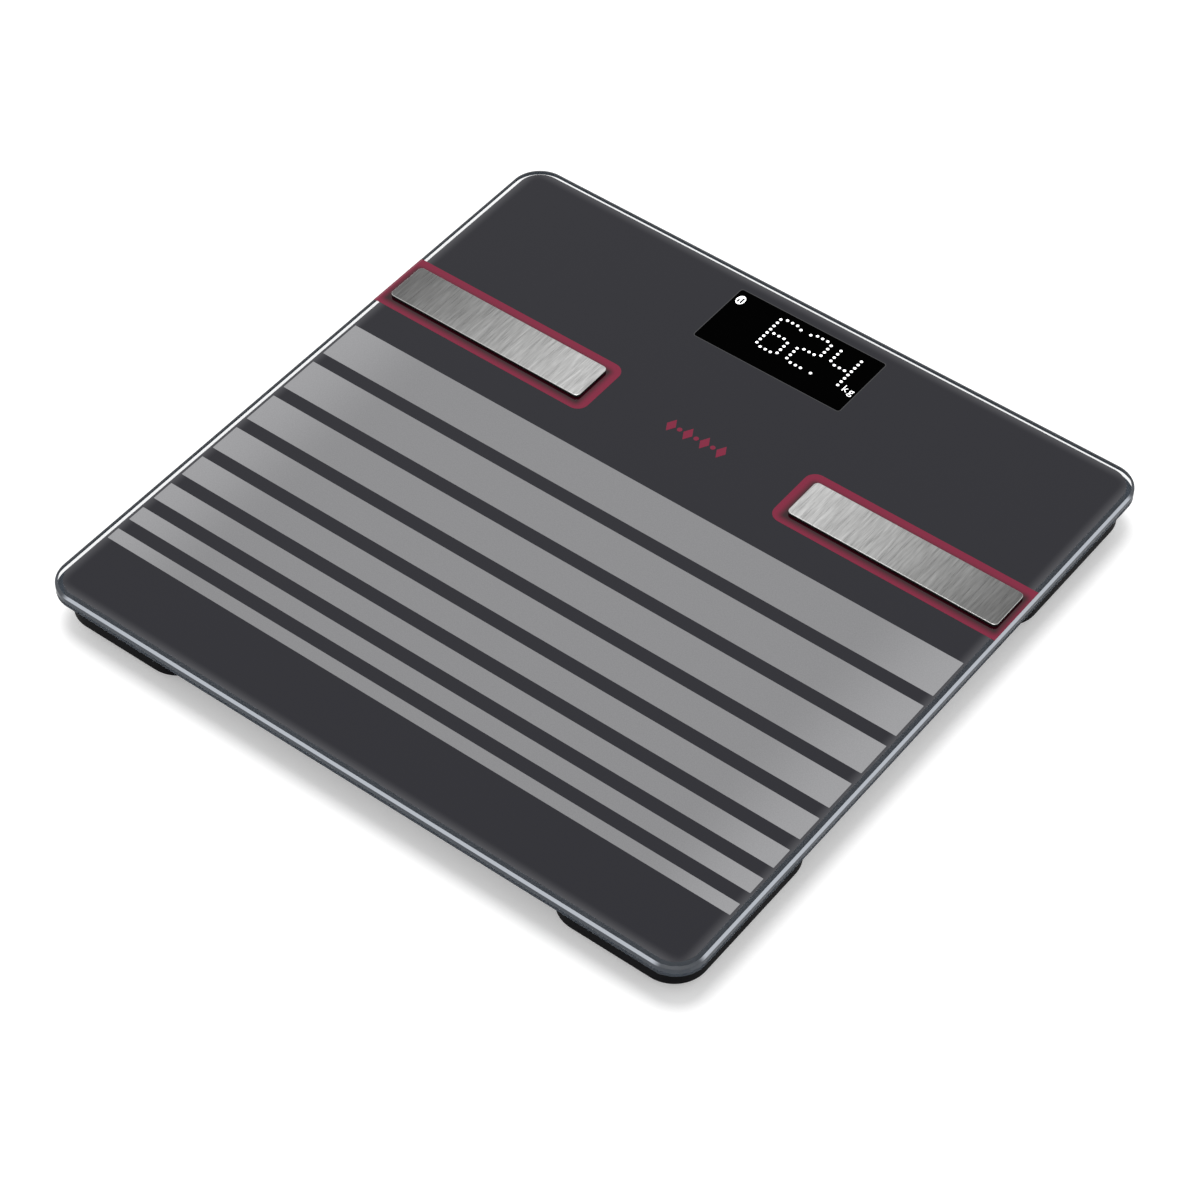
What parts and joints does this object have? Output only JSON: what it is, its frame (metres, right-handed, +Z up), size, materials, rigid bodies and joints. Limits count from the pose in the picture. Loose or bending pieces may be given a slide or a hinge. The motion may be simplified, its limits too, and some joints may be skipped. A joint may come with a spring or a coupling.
{
  "type": "digital bathroom scale",
  "caption": "Square glass bathroom scale on sensing feet, with raised steel electrodes, a striped print and a lit dot display.",
  "frame": {"origin": "on the floor, under the middle of the glass plate", "axes": "+Z up, +Y towards the display edge, +X to the right of a person who stands on the scale and reads it"},
  "size_m": [0.3, 0.3, 0.0235],
  "materials": {
    "printed_glass": "gloss",
    "brushed_steel": "brushed",
    "clear_film": "satin",
    "tinned_brass": "satin",
    "zinc_steel": "satin",
    "black_abs": "fine texture",
    "cell_steel": "satin",
    "gauge_resin": "satin",
    "foot_plastic": "satin",
    "foot_rubber": "matt",
    "button_plastic": "satin",
    "battery_jacket": "gloss",
    "spring_steel": "bright",
    "board_green": "satin",
    "display_black": "satin",
    "header_white": "satin",
    "chip_black": "matt",
    "shield_tin": "satin",
    "lead_red": "satin",
    "lead_white": "satin"
  },
  "bodies": {
    "scale": {"glass_plate": "printed_glass", "electrode_left": "brushed_steel", "electrode_right": "brushed_steel", "electrode_film_left": "clear_film", "electrode_film_right": "clear_film", "ring_terminal_left": "tinned_brass", "ring_terminal_right": "tinned_brass", "electrode_nuts": "zinc_steel", "load_cell_screws": "zinc_steel", "corner_lid_screws": "zinc_steel", "electronics_cover_screws": "zinc_steel", "corner_housing_front_left": "black_abs", "corner_housing_front_right": "black_abs", "corner_housing_back_left": "black_abs", "corner_housing_back_right": "black_abs", "corner_lid_front_left": "black_abs", "corner_lid_front_right": "black_abs", "corner_lid_back_left": "black_abs", "corner_lid_back_right": "black_abs", "electronics_case": "black_abs", "electronics_cover": "black_abs", "load_cell_front_left": "cell_steel", "load_cell_front_right": "cell_steel", "load_cell_back_left": "cell_steel", "load_cell_back_right": "cell_steel", "strain_gauges": "gauge_resin", "battery_1": "battery_jacket", "battery_2": "battery_jacket", "battery_3": "battery_jacket", "battery_springs": "spring_steel", "battery_contact_plates": "spring_steel", "main_board": "board_green", "led_display": "display_black", "lead_headers": "header_white", "lead_clips": "header_white", "controller_chip": "chip_black", "unit_switch": "chip_black", "radio_module": "shield_tin", "load_cell_lead_front_left": "lead_red", "load_cell_lead_front_right": "lead_red", "load_cell_lead_back_left": "lead_red", "load_cell_lead_back_right": "lead_red", "electrode_lead_left": "lead_white", "electrode_lead_right": "lead_white"},
    "foot_front_left": {"foot_cup_front_left": "foot_plastic", "foot_pad_front_left": "foot_rubber", "foot_screw_front_left": "zinc_steel"},
    "foot_front_right": {"foot_cup_front_right": "foot_plastic", "foot_pad_front_right": "foot_rubber", "foot_screw_front_right": "zinc_steel"},
    "foot_back_left": {"foot_cup_back_left": "foot_plastic", "foot_pad_back_left": "foot_rubber", "foot_screw_back_left": "zinc_steel"},
    "foot_back_right": {"foot_cup_back_right": "foot_plastic", "foot_pad_back_right": "foot_rubber", "foot_screw_back_right": "zinc_steel"},
    "battery_door": {"battery_door": "black_abs"},
    "unit_button": {"unit_button": "button_plastic", "unit_switch_plunger": "chip_black"}
  },
  "joints": [
    {"name": "foot_press_front_left", "type": "slide", "parent": "scale", "child": "foot_front_left", "axis": [0, 0, 1], "range_m": [0, 0.0005], "stiffness_N_per_m": 40000, "deforming": ["load_cell_front_left"]},
    {"name": "foot_press_front_right", "type": "slide", "parent": "scale", "child": "foot_front_right", "axis": [0, 0, 1], "range_m": [0, 0.0005], "stiffness_N_per_m": 40000, "deforming": ["load_cell_front_right"]},
    {"name": "foot_press_back_left", "type": "slide", "parent": "scale", "child": "foot_back_left", "axis": [0, 0, 1], "range_m": [0, 0.0005], "stiffness_N_per_m": 40000, "deforming": ["load_cell_back_left"]},
    {"name": "foot_press_back_right", "type": "slide", "parent": "scale", "child": "foot_back_right", "axis": [0, 0, 1], "range_m": [0, 0.0005], "stiffness_N_per_m": 40000, "deforming": ["load_cell_back_right"]},
    {"name": "battery_door_slide", "type": "slide", "parent": "scale", "child": "battery_door", "axis": [0, -1, 0], "range_m": [0, 0.056]},
    {"name": "unit_button_press", "type": "slide", "parent": "scale", "child": "unit_button", "axis": [0, 0, 1], "range_m": [0, 0.0005], "stiffness_N_per_m": 3000}
  ]
}
